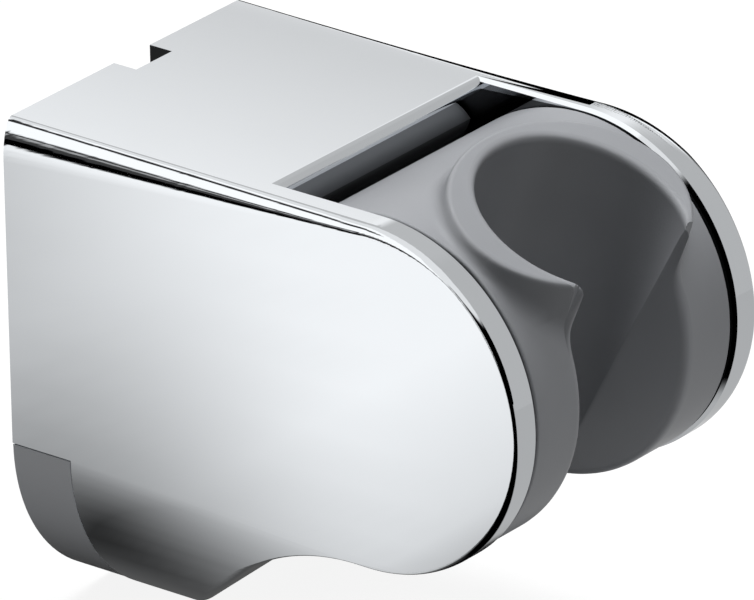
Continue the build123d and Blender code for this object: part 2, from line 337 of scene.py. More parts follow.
class NodeKit:
    """Makes the nodes of one node tree."""

    def __init__(self, tree: bpy.types.NodeTree) -> None:
        """Works on the given tree."""
        self.tree = tree

    def add(self, kind: str, settings: dict[str, Any], inputs: dict[Any, Any], out: Any = 0) -> Wire:
        """Adds a node, sets it up and feeds its sockets.

        Args:
            kind: the node's type name.
            settings: its properties, set first; the key ramp holds a colour ramp's stops.
            inputs: values or wires by socket name or number.
            out: name or number of the socket that is wanted.

        Returns:
            That output as a wire.
        """
        node = self.tree.nodes.new(kind)
        for name, value in settings.items():
            if name == "ramp":
                self._set_ramp(node.color_ramp, value)
            else:
                setattr(node, name, value)
        for name, value in inputs.items():
            if isinstance(value, Wire):
                self.tree.links.new(value.socket, node.inputs[name])
            else:
                node.inputs[name].default_value = value
        return Wire(self.tree, node.outputs[out]) if len(node.outputs) else None

    @staticmethod
    def _set_ramp(ramp: bpy.types.ColorRamp, stops: Sequence[tuple[float, tuple]]) -> None:
        """Gives a colour ramp its stops, as pairs of place and colour."""
        while len(ramp.elements) < len(stops):
            ramp.elements.new(1.0)
        for element, (place, colour) in zip(ramp.elements, stops):
            element.position = place
            element.color = (*colour, 1.0)

    def noise(self, scale: float, detail: float = 2.0) -> Wire:
        """Soft noise in the object's own space, about 0.5, with scale lumps for each metre."""
        place = self.add("ShaderNodeTexCoord", {}, {}, "Object")
        return self.add("ShaderNodeTexNoise", {}, {"Vector": place, "Scale": scale, "Detail": detail}, 0)

    def rays(self, *kinds: str) -> list[Wire]:
        """For each kind, such as Camera or Glossy, a wire that is 1 for rays of that kind."""
        return [self.add("ShaderNodeLightPath", {}, {}, f"Is {kind} Ray") for kind in kinds]


def new_material(name: str) -> tuple[bpy.types.Material, NodeKit]:
    """Empty node material.

    Args:
        name: name of the material.
    """
    material = bpy.data.materials.new(name)
    material.use_nodes = True
    material.node_tree.nodes.clear()
    return material, NodeKit(material.node_tree)


@dataclass(frozen=True)
class PlatedFinish:
    """Bright plating: a clear mirror with a faint haze and the slight unevenness of the moulding under it, its
    colour darkened face by face by a stored painted shade.
    """

    name: str
    colour: tuple[float, float, float]
    roughness: float
    haze: float
    ripple: float
    ripple_depth: float = 0.02
    cloud_scale: float = 70.0
    cloud_tint: float = 0.03
    cloud_haze: float = 0.6
    fine_scale: float = 900.0
    fine_haze: float = 0.4

    def material(self) -> bpy.types.Material:
        """Builds the plating.

        Returns:
            The material.
        """
        material, kit = new_material(self.name)
        cloud = kit.noise(self.cloud_scale, CLOUD_DETAIL)
        fine = kit.noise(self.fine_scale)
        # Painted shade: a stored factor per face, 1 outside, that darkens the plating's colour in the recesses
        # where shade falls.
        painted_shade = kit.add("ShaderNodeAttribute", {"attribute_name": "painted_shade"}, {}, "Fac")
        tint = kit.add(
            "ShaderNodeValToRGB",
            {"ramp": [(0.0, (0.0, 0.0, 0.0)), (1.0, self.colour)]},
            {"Fac": painted_shade * (1.0 - 0.5 * self.cloud_tint + self.cloud_tint * cloud).at_most(1.0)},
        )
        relief = {"Strength": self.ripple, "Distance": self.ripple_depth * MM, "Height": cloud}
        bump = kit.add("ShaderNodeBump", {}, relief, "Normal")
        shader = kit.add(
            "ShaderNodeBsdfPrincipled",
            {},
            {
                "Base Color": tint,
                "Metallic": 1.0,
                "Roughness": self.roughness + self.haze * (self.cloud_haze * cloud + self.fine_haze * fine),
                "Normal": bump,
            },
        )
        kit.add("ShaderNodeOutputMaterial", {}, {"Surface": shader})
        return material


@dataclass(frozen=True)
class MouldedFinish:
    """Moulded plastic: an even colour with faint flow clouds and a fine satin grain."""

    name: str
    colour: tuple[float, float, float]
    roughness: float
    grain: float
    clouds: float = 0.05
    gloss: float = 0.45
    cloud_scale: float = 55.0
    cloud_span: tuple[float, float] = (0.3, 0.7)
    cloud_haze: float = 0.08
    grain_scale: float = 5200.0
    grain_depth: float = 0.05
    grain_haze: float = 0.12

    def material(self) -> bpy.types.Material:
        """Builds the plastic.

        Returns:
            The material.
        """
        material, kit = new_material(self.name)
        cloud = kit.noise(self.cloud_scale, CLOUD_DETAIL)
        grain = kit.noise(self.grain_scale)
        shades = [tuple(c * (1.0 + change) for c in self.colour) for change in (-self.clouds, self.clouds)]
        tint = kit.add("ShaderNodeValToRGB", {"ramp": list(zip(self.cloud_span, shades))}, {"Fac": cloud})
        relief = {"Strength": self.grain, "Distance": self.grain_depth * MM, "Height": grain}
        bump = kit.add("ShaderNodeBump", {}, relief, "Normal")
        haze = self.grain_haze * (grain - 0.5) + self.cloud_haze * (cloud - 0.5)
        shader = kit.add(
            "ShaderNodeBsdfPrincipled",
            {},
            {
                "Base Color": tint,
                "Roughness": self.roughness + haze,
                "Specular IOR Level": self.gloss,
                "Normal": bump,
            },
        )
        kit.add("ShaderNodeOutputMaterial", {}, {"Surface": shader})
        return material


@dataclass(frozen=True)
class StripFinish:
    """Rolled spring strip: bright steel with fine drawn lines along its length."""

    name: str
    colour: tuple[float, float, float]
    roughness: float
    line_scale: tuple[float, float, float] = (60.0, 2500.0, 2500.0)
    line_span: tuple[float, float] = (0.35, 0.65)
    line_shade: float = 0.8
    line_haze: float = 0.15

    def material(self) -> bpy.types.Material:
        """Builds the steel.

        Returns:
            The material.
        """
        material, kit = new_material(self.name)
        place = kit.add("ShaderNodeTexCoord", {}, {}, "Object")
        drawn = kit.add("ShaderNodeMapping", {}, {"Vector": place, "Scale": self.line_scale})
        lines = kit.add("ShaderNodeTexNoise", {}, {"Vector": drawn, "Scale": 1.0, "Detail": CLOUD_DETAIL})
        shades = [tuple(self.line_shade * c for c in self.colour), self.colour]
        tint = kit.add("ShaderNodeValToRGB", {"ramp": list(zip(self.line_span, shades))}, {"Fac": lines})
        shader = kit.add(
            "ShaderNodeBsdfPrincipled",
            {},
            {"Base Color": tint, "Metallic": 1.0, "Roughness": self.roughness + self.line_haze * lines},
        )
        kit.add("ShaderNodeOutputMaterial", {}, {"Surface": shader})
        return material


class Finish(Enum):
    """The finishes of the holder, by the record's material slots."""

    HOUSING = ("housing_chrome", PlatedFinish("bright_plating", (0.785, 0.81, 0.835), 0.03, 0.03, 0.05))
    PLATE = ("plate_plastic", MouldedFinish("plate_grey", (0.64, 0.66, 0.69), 0.34, 0.12))
    CRADLE = ("cradle_plastic", MouldedFinish("cradle_grey", (0.32, 0.33, 0.35), 0.36, 0.12))
    BUSH = ("bush_plastic", MouldedFinish("natural_acetal", (0.78, 0.78, 0.74), 0.38, 0.05))
    SHOE = ("shoe_plastic", MouldedFinish("dark_elastomer", (0.035, 0.035, 0.038), 0.62, 0.3))
    SPRING = ("spring_steel", StripFinish("spring_strip", (0.56, 0.57, 0.60), 0.22))

    @property
    def slot(self) -> str:
        """Name of the record's slot."""
        return self.value[0]

    def dress(self, piece: bpy.types.Object) -> None:
        """Gives a piece this finish as its only material."""
        material = bpy.data.materials.get(self.value[1].name) or self.value[1].material()
        piece.data.materials.clear()
        piece.data.materials.append(material)


@dataclass
class Cradle:
    """Moulded cradle: a drum with an oval collar, a tapered socket and a hose slot between two pointed lips.

    It is worked out in its own frame: x along the pivot, y square to the socket towards the wall, z up the
    socket.
    """

    drum_radius: float = 20.4
    half_length: float = 17.7
    rim_height: float = 22.0
    collar_offset: float = -3.2
    collar_half_width: float = 16.4
    collar_half_depth: float = 12.7
    collar_draft: float = 2.0
    rim_round: float = 0.7
    collar_blend: float = 1.5
    bore_offset: float = -5.0
    bore_top_radius: float = 12.3
    bore_foot_radius: float = 10.5
    slot_half_width: float = 9.6
    edge_round: float = 1.0
    end_round: float = 0.4
    trunnion_radius: float = 5.5
    trunnion_reach: float = 1.9
    trunnion_chamfer: float = 0.4
    core_radius: float = 14.0
    core_half_width: float = 2.3
    core_depth: float = 4.0
    core_half_arc: float = 55.0
    core_feather: float = 0.15
    lug_size: tuple[float, float, float] = (7.0, 3.0, 1.8)
    lug_drop: float = 54.0
    lug_root: float = 1.0
    ray_span: tuple[float, float] = (0.9, 1.6)
    upright_span: tuple[float, float] = (0.0, 1.1)
    foot_share: float = 0.8
    corner_turn: float = 32.0
    corner_share: float = 0.45
    skin_gather: float = 1.7
    bore_stations: int = 120
    slot_stations: int = 56
    skin_rows: int = 80
    edge_rows: int = 7
    wall_rows: int = 14
    face_rows: int = 40
    crease: float = 38.0

    def placed(self, points: Array) -> Array:
        """Turns points from the cradle's frame to the holder's, by its pivot and the axis of its socket."""
        pivot = np.array(frame["joints"][0]["pos_m"]) / MM
        sockets = [mount for mount in frame["record"]["mounts"] if mount["name"] == "handset_socket"]
        up = np.array(sockets[0]["axis"])
        across = np.array([1.0, 0.0, 0.0])
        return pivot + points @ np.stack([across, np.cross(up, across), up])

    def bore_radius(self, height: Array) -> Array:
        """Radius of the tapered socket: straight from its foot to its rim."""
        share = (height + self.rim_height) / (2.0 * self.rim_height)
        return mix(self.bore_foot_radius, self.bore_top_radius, share)

    def depth_outside(self, points: Array, collared: bool) -> Array:
        """How far points lie outside the cradle's round body, negative inside.

        The body is the drum joined by a concave round to the collar. The collar is a drafted oval post, cut
        off by the rim plane with a rounded edge.

        Args:
            points: points in the cradle's frame.
            collared: whether the collar stands on this side.

        Returns:
            The signed depth of each point.
        """
        x, y, z = points[..., 0], points[..., 1], points[..., 2]
        drum = np.hypot(y, z) - self.drum_radius
        if not collared:
            return drum
        oval = np.hypot(x / self.collar_half_width, (y - self.collar_offset) / self.collar_half_depth)
        out = (oval - 1.0) * 0.5 * (self.collar_half_width + self.collar_half_depth)
        draft = radians(self.collar_draft)
        wall = out * cos(draft) - (self.rim_height - z) * sin(draft)
        collar = soft_max(wall, z - self.rim_height, self.rim_round)
        return soft_min(drum, collar, self.collar_blend)

    def on_skin(self, low: Array, high: Array, place: Callable[[Array], Array], collared: bool) -> Array:
        """Points where lines leave the body, found by halving a span of each line.

        Args:
            low: distance along each line that lies inside.
            high: distance along it that lies outside.
            place: gives the lines' points at some distances.
            collared: whether the collar stands on this side.

        Returns:
            Points of the skin.
        """
        for _ in range(HALVINGS):
            middle = 0.5 * (low + high)
            points = place(middle)
            inside = self.depth_outside(points, collared) < 0.0
            low, high = np.where(inside, middle, low), np.where(inside, high, middle)
        return points

    def on_ray(self, x: Array, turn: Array, collared: bool) -> Array:
        """Points of the skin straight out from the pivot axis, by place along it and turn forward from up."""
        low, high = [np.full(x.shape, share * self.drum_radius) for share in self.ray_span]
        y, z = -np.sin(turn), np.cos(turn)
        return self.on_skin(low, high, lambda out: np.stack([x, out * y, out * z], axis=-1), collared)

    def on_upright(self, x: Array, y: Array, collared: bool) -> Array:
        """Points of the skin straight above places in the cradle's level plane."""
        low, high = [np.full(x.shape, share * self.rim_height) for share in self.upright_span]
        return self.on_skin(low, high, lambda z: np.stack([x, y, z], axis=-1), collared)

    def opening_edge(self, inset: float, collared: bool) -> Array:
        """Edge of the opening on the skin, from the back of the socket round to the tip, then down the slot.

        The socket's part is a circle about its axis, and the slot's part lies at a fixed x.

        Args:
            inset: how far outside the opening the line runs.
            collared: whether the collar stands on this side.

        Returns:
            The line's points.
        """
        height = self.rim_height if collared else -self.foot_share * self.drum_radius
        radius = self.bore_radius(np.array(height)) + inset
        side = self.slot_half_width + inset
        tip = pi - np.arcsin(side / radius)
        turn = np.linspace(0.0, 1.0, self.bore_stations) * tip
        x, y = radius * np.sin(turn), self.bore_offset + radius * np.cos(turn)
        round_part = self.on_upright(x, y, collared)
        start = atan2(-round_part[-1, 1], round_part[-1, 2])
        fall = mix(start, 0.5 * pi, np.linspace(0.0, 1.0, self.slot_stations + 1)[1:])
        slot_part = self.on_ray(np.full(fall.shape, side), fall, collared)
        return np.concatenate([round_part, slot_part])

    def wall_edge(self, edge: Array) -> Array:
        """Line on the wall of the opening, one edge round below its edge.

        On the socket it lies straight down, and along the slot it swings round to point at the pivot.
        """
        toward = np.stack([np.zeros(len(edge)), -edge[:, 1], -edge[:, 2]], axis=1)
        toward /= np.linalg.norm(toward, axis=1, keepdims=True)
        along = np.arange(len(edge)) - (self.bore_stations - 1)
        swing = smooth_step(0.0, 0.5 * self.slot_stations, along)[:, None]
        down = mix(np.array([0.0, 0.0, -1.0]), toward, swing)
        down /= np.linalg.norm(down, axis=1, keepdims=True)
        return edge + self.edge_round * down

    def outer_line(self, edge: Array) -> tuple[Array, Array]:
        """Far end of each row of the skin: along the back first, then along the drum's end to the front.

        Args:
            edge: the opening's edge, one point for each row.

        Returns:
            The rows' ends along the pivot, and their turn about it.
        """
        turn = np.arctan2(-edge[:, 1], edge[:, 2])
        heading = np.degrees(np.arctan2(edge[:, 0], edge[:, 1] - self.bore_offset))
        level = turn[np.argmin(np.abs(heading - SQUARE))]
        x = self.half_length * np.clip(heading / self.corner_turn, 0.0, 1.0)
        tip = self.bore_stations - 1
        stops = [0.0, self.corner_turn, 0.5 * (self.corner_turn + SQUARE), SQUARE, heading[tip]]
        turns = [-0.5 * pi, -0.5 * pi, self.corner_share * (level - 0.5 * pi), level, turn[tip]]
        far = np.where(np.arange(len(edge)) < tip, np.interp(heading, stops, turns), turn)
        return np.where(np.arange(len(edge)) < tip, x, self.half_length), far

    def quarter(self, collared: bool) -> list[Shell]:
        """Right half of the upper or lower side: the opening's wall, its rounded edge, the skin and the end.

        Args:
            collared: True for the upper side with the collar.

        Returns:
            The quarter's shells, the lower one still drawn upwards.
        """
        edge = self.opening_edge(0.0, collared)
        rim = self.opening_edge(self.edge_round, collared)
        wall = self.wall_edge(edge)
        middle = self.wall_edge(self.opening_edge(0.0, not collared))
        middle = 0.5 * (wall + middle * np.array([1.0, 1.0, -1.0]))
        share = np.linspace(0.0, 1.0, self.wall_rows)[None, :, None]
        wall_part = mix(middle[:, None], wall[:, None], share)
        share = np.linspace(0.0, 1.0, self.edge_rows)[None, 1:, None]
        bend = mix(mix(wall[:, None], edge[:, None], share), mix(edge[:, None], rim[:, None], share), share)
        far_x, far_turn = self.outer_line(rim)
        far_x = np.minimum(far_x, self.half_length - self.end_round)
        share = (np.linspace(0.0, 1.0, self.skin_rows) ** self.skin_gather)[None, 1:]
        turn = np.arctan2(-rim[:, 1], rim[:, 2])
        turns = mix(turn[:, None], far_turn[:, None], share)
        skin = self.on_ray(mix(rim[:, :1], far_x[:, None], share), turns, collared)
        sheet = Shell.grid(np.concatenate([wall_part, bend, skin], axis=1))
        first = int(np.argmax(far_x >= self.half_length - self.end_round))
        return [sheet, Shell.grid(self.end_face(skin[first:, -1], far_turn[first:]))]

    def end_face(self, border: Array, turn: Array) -> Array:
        """End of the drum from its rounded edge to the trunnion's middle, a profile carried round the pivot.

        The face has a curved hollow that keeps the wall even, as deep as the step of a distance from its
        middle arc.

        Args:
            border: last line of the skin.
            turn: its turn about the pivot.

        Returns:
            Grid of points.
        """
        reach = np.hypot(border[:, 1], border[:, 2])[:, None]
        share = np.linspace(0.0, 1.0, self.edge_rows)[None, :]
        edge_x = self.half_length - self.end_round * (1.0 - share) ** 2 + 0.0 * reach
        edge_out = reach - self.end_round * share**2
        outs = np.linspace(1.0, 0.0, self.face_rows)[None, 1:]
        face_out = mix(self.trunnion_radius, edge_out[:, -1:], outs)
        past = np.maximum(np.abs(np.abs(turn[:, None]) - 0.5 * pi) - radians(self.core_half_arc), 0.0)
        gap = np.hypot(face_out - self.core_radius, past * self.core_radius) - self.core_half_width
        cut = smooth_step(self.core_feather, -self.core_feather, gap)
        hollow = self.core_depth * cut * (turn[:, None] < 0.0)
        face_x = self.half_length - hollow
        tip_out = self.trunnion_radius - self.trunnion_chamfer
        tip_x = self.half_length + self.trunnion_reach
        stub_out = np.array([self.trunnion_radius, tip_out, 0.0])[None, :] + 0.0 * reach
        stub_x = np.array([tip_x - self.trunnion_chamfer, tip_x, tip_x])[None, :] + 0.0 * reach
        out = np.concatenate([edge_out, face_out, stub_out], axis=1)
        x = np.concatenate([edge_x, face_x, stub_x], axis=1)
        return np.stack([x, -out * np.sin(turn)[:, None], out * np.cos(turn)[:, None]], axis=-1)

    def lug(self) -> Shell:
        """Tilt stop on the back of the drum: a block whose grid runs round it and closes at both ends."""
        width, thickness, rise = self.lug_size
        around = np.array([[-1, -1], [1, -1], [1, 1], [-1, 1], [-1, -1]]) * [0.5 * width, 0.5 * thickness]
        drop = radians(self.lug_drop)
        back = np.array([0.0, cos(drop), -sin(drop)])
        up = np.array([0.0, sin(drop), cos(drop)])
        ring = around[:, :1] * np.array([1.0, 0.0, 0.0]) + around[:, 1:] * up
        foot, head = back * (self.drum_radius - self.lug_root), back * (self.drum_radius + rise)
        rows = [0.0 * ring + foot, ring + foot, ring + head, 0.0 * ring + head]
        return Shell.grid(np.stack(rows, axis=0))

    def build(self) -> bpy.types.Object:
        """Builds the cradle, seats it in the holder's frame and dresses it.

        Returns:
            The cradle's object.
        """
        upper = Shell.joined(self.quarter(True))
        lower = Shell.joined(self.quarter(False)).mirrored(2)
        right = Shell.joined([upper, lower])
        body = Shell.joined([right, right.mirrored(0)])
        whole = Shell.joined([body.outward(), self.lug().outward()])
        whole.points = self.placed(whole.points)
        piece = whole.to_object("cradle_moulding", self.crease)
        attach(piece, "cradle")
        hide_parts("swivel_cradle")
        Finish.CRADLE.dress(piece)
        return piece


@dataclass
class Housing:
    """Plated housing: the CAD form with its long edges rounded as on the real one.

    Each round is oval, wide at the wall and tight in front: its first size is measured across the top or the
    nose, its second down the side. Round the nose, places are given as the angle above straight ahead, in
    degrees. On the right, the top's rounds are widened by a factor that depends on the distance behind the
    pivot.
    """

    cad_round: float = 1.5
    wall_round: tuple[float, float] = (1.7, 5.0)
    right_places: tuple[float, ...] = (-15.0, 0.0, 51.0)
    right_factors: tuple[float, ...] = (1.0, 2.4, 1.15)
    nose_rises: tuple[float, ...] = (-90.0, -80.0, -42.0, 0.0, 28.0, 55.0, 90.0)
    nose_rounds: tuple[tuple[float, float], ...] = (
        (1.2, 0.4),
        (1.2, 0.45),
        (1.1, 0.6),
        (0.45, 0.35),
        (0.7, 0.55),
        (1.2, 0.45),
        (1.2, 1.35),
    )
    level_run: float = 2.0
    sweep_radius: float = 27.0
    sweep_slope: float = 40.0
    sweep_fade: tuple[float, float] = (-20.0, -14.0)
    arc_step: float = 0.4
    arc_splits: int = 6
    mouth_half_width: float = 18.1
    mouth_reach: float = 25.5
    mouth_top: float = 28.8
    # Painted shade levels of the plating inside the mouth, in the gap behind the drum and in the notch.
    mouth_painted_shade: float = 0.32
    gap_reach: float = 22.4
    gap_painted_shade: float = 0.1
    notch_depth: float = 3.3
    notch_span: tuple[float, float] = (-2.3, 4.3)
    notch_foot: float = 27.1
    notch_painted_shade: float = 0.03
    slack: float = 0.02
    crease: float = 38.0

    def nose_frame(self) -> tuple[Array, Array, float]:
        """High corner of the housing, pivot of its nose and radius of its nose."""
        high = np.array(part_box("housing")[1]) / MM
        pivot = np.array(frame["joints"][0]["pos_m"]) / MM
        return high, pivot, high[2] - pivot[2]

    def finer_edges(self, shell: Shell) -> Shell:
        """Cuts the long edges of the nose's band and of the top's rounds, with new points on their arcs.

        Args:
            shell: the merged CAD form.

        Returns:
            The shell with a finer band.
        """
        high, pivot, nose = self.nose_frame()
        for _ in range(self.arc_splits):
            edges, place = shell.sides()
            away = shell.points[:, 1:] - pivot[1:]
            behind = np.maximum(away[:, 0], 0.0)
            away[:, 0] -= behind
            out = np.linalg.norm(away, axis=1)
            beside = high[0] - np.abs(shell.points[:, 0]) < self.cad_round + self.slack
            band = np.abs(nose - out) < self.cad_round + self.slack
            band &= (behind < self.slack) | (beside & (away[:, 1] > 0.0))
            ends = shell.points[edges]
            length = np.linalg.norm(ends[:, 1] - ends[:, 0], axis=1)
            flagged = band[edges].all(axis=1) & (length > self.arc_step)
            x = ends[flagged, :, 0].mean(axis=1)
            toward = away[edges[flagged]].sum(axis=1)
            toward /= np.linalg.norm(toward, axis=1, keepdims=True)
            reach = out[edges[flagged]].mean(axis=1)
            inside = np.stack([np.abs(x) - high[0], reach - nose], axis=1) + self.cad_round
            on_round = (inside > 0.0).all(axis=1)
            reach = np.maximum(np.linalg.norm(inside, axis=1, keepdims=True), self.slack)
            inside = np.where(on_round[:, None], inside * (self.cad_round / reach), inside) - self.cad_round
            x = np.sign(x) * (inside[:, 0] + high[0])
            around = pivot[1:] + toward * (inside[:, 1:] + nose)
            around[:, 0] += behind[edges[flagged]].mean(axis=1)
            shell = shell.split(flagged, edges, place, np.concatenate([x[:, None], around], axis=1))
        return shell

    def depths(self, points: Array) -> tuple[Array, Array, Array, Array]:
        """Depth of points under the side and under the band of the top, nose and underside.

        The side is upright and turns under as the half-round foot. The underside is level behind the nose,
        sweeps down on an arc and goes on straight.

        Args:
            points: points of the housing.

        Returns:
            Depth under the side, depth under the band, and the unit directions in which each depth grows.
        """
        high, pivot, nose = self.nose_frame()
        x, y, z = points.T
        ahead, over = y - pivot[1], z - pivot[2]
        none = np.zeros(x.shape)
        fall = np.minimum(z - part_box("housing")[0][2] / MM - high[0], 0.0)
        beside = np.maximum(np.hypot(x, fall), self.slack)
        out = np.maximum(np.hypot(ahead, over), self.slack)
        back, drop = ahead - self.level_run, over + nose + self.sweep_radius
        slope = np.clip(np.arctan2(back, drop), 0.0, radians(self.sweep_slope))
        under = back * np.sin(slope) + drop * np.cos(slope) - self.sweep_radius
        regions = [(ahead >= 0.0) & (over > 0.0), ahead >= 0.0]
        band = np.select(regions, [high[2] - z, under], nose - out)
        band_y = np.select(regions, [none, np.sin(slope)], -ahead / out)
        band_z = np.select(regions, [none - 1.0, np.cos(slope)], -over / out)
        side_way = np.stack([-x / beside, none, -fall / beside], axis=1)
        return high[0] - beside, band, side_way, np.stack([none, band_y, band_z], axis=1)

    def rounded(self, shell: Shell) -> Shell:
        """Scales the rounds of the long edges about their sharp edge.

        A point of a round lies some depth under the side and some depth under the top, nose or underside.
        Each depth is multiplied by the wanted size over the radius that the round has.

        Args:
            shell: the merged CAD form.

        Returns:
            The shell with its rounds changed.
        """
        _, pivot, _ = self.nose_frame()
        side, band, side_way, band_way = self.depths(shell.points)
        ahead, over = (shell.points[:, 1:] - pivot[1:]).T
        rise = np.degrees(np.arctan2(over, -ahead))
        rounds = np.array(self.nose_rounds)
        kept = np.where(ahead < 0.0, 0.0, smooth_step(*self.sweep_fade[::-1], shell.points[:, 2]))
        reach = self.cad_round + self.slack
        chosen = (np.maximum(side, band) < reach) & (np.minimum(side, band) > -self.slack)
        on_right = (shell.points[:, 0] > 0.0) & (over > 0.0)
        factor = np.where(on_right, np.interp(ahead, self.right_places, self.right_factors), 1.0)
        moves = []
        for k, (depth, scale) in enumerate([(side, factor / self.cad_round), (band, 1.0 / self.cad_round)]):
            on_top = np.interp(ahead, [0.0, -pivot[1]], [rounds[-1, k], self.wall_round[k]])
            below = mix(rounds[0, k], self.cad_round, kept)
            behind = np.where(over > 0.0, on_top, below)
            wanted = np.where(ahead < 0.0, np.interp(rise, self.nose_rises, rounds[:, k]), behind)
            moves.append(np.where(chosen, depth * (wanted * scale - 1.0), 0.0)[:, None])
        return Shell(shell.points + moves[0] * side_way + moves[1] * band_way, shell.faces)

    def painted_shade_levels(self, shell: Shell) -> Array:
        """Painted shade of the plating on each face: full brightness outside, darker in the mouth, darker still in
        the gap behind the drum and near black in the notch.
        """
        high, pivot, _ = self.nose_frame()
        x, y, z = shell.points[shell.faces].mean(axis=1).T
        out = np.hypot(y - pivot[1], z - pivot[2])
        mouth = (np.abs(x) < self.mouth_half_width + self.slack) & (out < self.mouth_reach)
        mouth &= z < self.mouth_top
        notch = (y > -self.notch_depth) & (z > self.notch_foot) & (z < high[2] - self.slack)
        notch &= (x > self.notch_span[0]) & (x < self.notch_span[1])
        # Painted shade in the mouth: darker where it reaches the gap behind the drum.
        inside = np.where(out < self.gap_reach, self.gap_painted_shade, self.mouth_painted_shade)
        return np.where(notch, self.notch_painted_shade, np.where(mouth, inside, 1.0))

    def build(self) -> bpy.types.Object:
        """Builds the housing and dresses it.

        Returns:
            The housing's object.
        """
        shell = self.rounded(self.finer_edges(Shell.of_node("housing")))
        piece = shell.to_object("housing_shell", self.crease)
        # Painted shade stored on each face: the plating is darkened inside the mouth, in the gap behind the drum
        # and in the notch.
        painted_shade = piece.data.attributes.new("painted_shade", "FLOAT", "FACE")
        painted_shade.data.foreach_set("value", self.painted_shade_levels(shell).astype(np.float32))
        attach(piece, "holder_body")
        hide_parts("housing")
        Finish.HOUSING.dress(piece)
        return piece


@dataclass
class WallPlate:
    """Moulded wall plate: the CAD form with smooth shading on its half-round foot."""

    crease: float = 30.0

    def build(self) -> bpy.types.Object:
        """Builds the plate and dresses it.

        Returns:
            The plate's object.
        """
        piece = Shell.of_node("wall_plate").to_object("plate_moulding", self.crease)
        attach(piece, "holder_body")
        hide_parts("wall_plate")
        Finish.PLATE.dress(piece)
        return piece


@dataclass
class InnerPieces:
    """The small pieces inside, which keep their CAD form and get a finish."""

    finishes: dict[str, Finish] = field(
        default_factory=lambda: {
            "pivot_bush_left": Finish.BUSH,
            "pivot_bush_right": Finish.BUSH,
            "friction_shoe": Finish.SHOE,
            "shoe_spring": Finish.SPRING,
        }
    )

    def build(self) -> list[bpy.types.Object]:
        """Dresses each inner piece.

        Returns:
            The pieces.
        """
        pieces = [frame["nodes"][name] for name in self.finishes]
        for piece, finish in zip(pieces, self.finishes.values()):
            finish.dress(piece)
        return pieces


@dataclass(frozen=True)
class Panel:
    """Part of the studio tent that shows in the plating: a soft-edged field of directions with its own level.

    Azimuth 0 is straight in front of the holder and 90 is to its right. Angles are degrees.
    """

    azimuth: tuple[float, float]
    elevation: tuple[float, float]
    level: float
    feather: float

    def share(self, azimuth: Array, elevation: Array) -> Array:
        """How far the panel covers each direction, 0 to 1: the product of a soft-edged span each way."""
        middle, half = 0.5 * sum(self.azimuth), 0.5 * (self.azimuth[1] - self.azimuth[0])
        aside = np.abs((azimuth - middle + 180.0) % 360.0 - 180.0) - half
        level, tall = 0.5 * sum(self.elevation), 0.5 * (self.elevation[1] - self.elevation[0])
        above = np.abs(elevation - level) - tall
        edge = 0.5 * self.feather
        return smooth_step(edge, -edge, aside) * smooth_step(edge, -edge, above)


@dataclass(frozen=True)
class Lamp:
    """Soft square light, placed from the middle of the holder and turned to it."""

    name: str
    place: tuple[float, float, float]
    size: float
    power: float

    def build(self) -> None:
        """Builds the lamp, which no mirror shows."""
        light = bpy.data.lights.new(self.name, "AREA")
        light.size = self.size * MM
        light.energy = self.power
        holder = bpy.data.objects.new(self.name, light)
        holder.location = Vector((holder_middle() + np.array(self.place)) * MM)
        holder.rotation_euler = Vector(self.place).to_track_quat("Z", "Y").to_euler()
        holder.visible_glossy = False
        bpy.context.scene.collection.objects.link(holder)


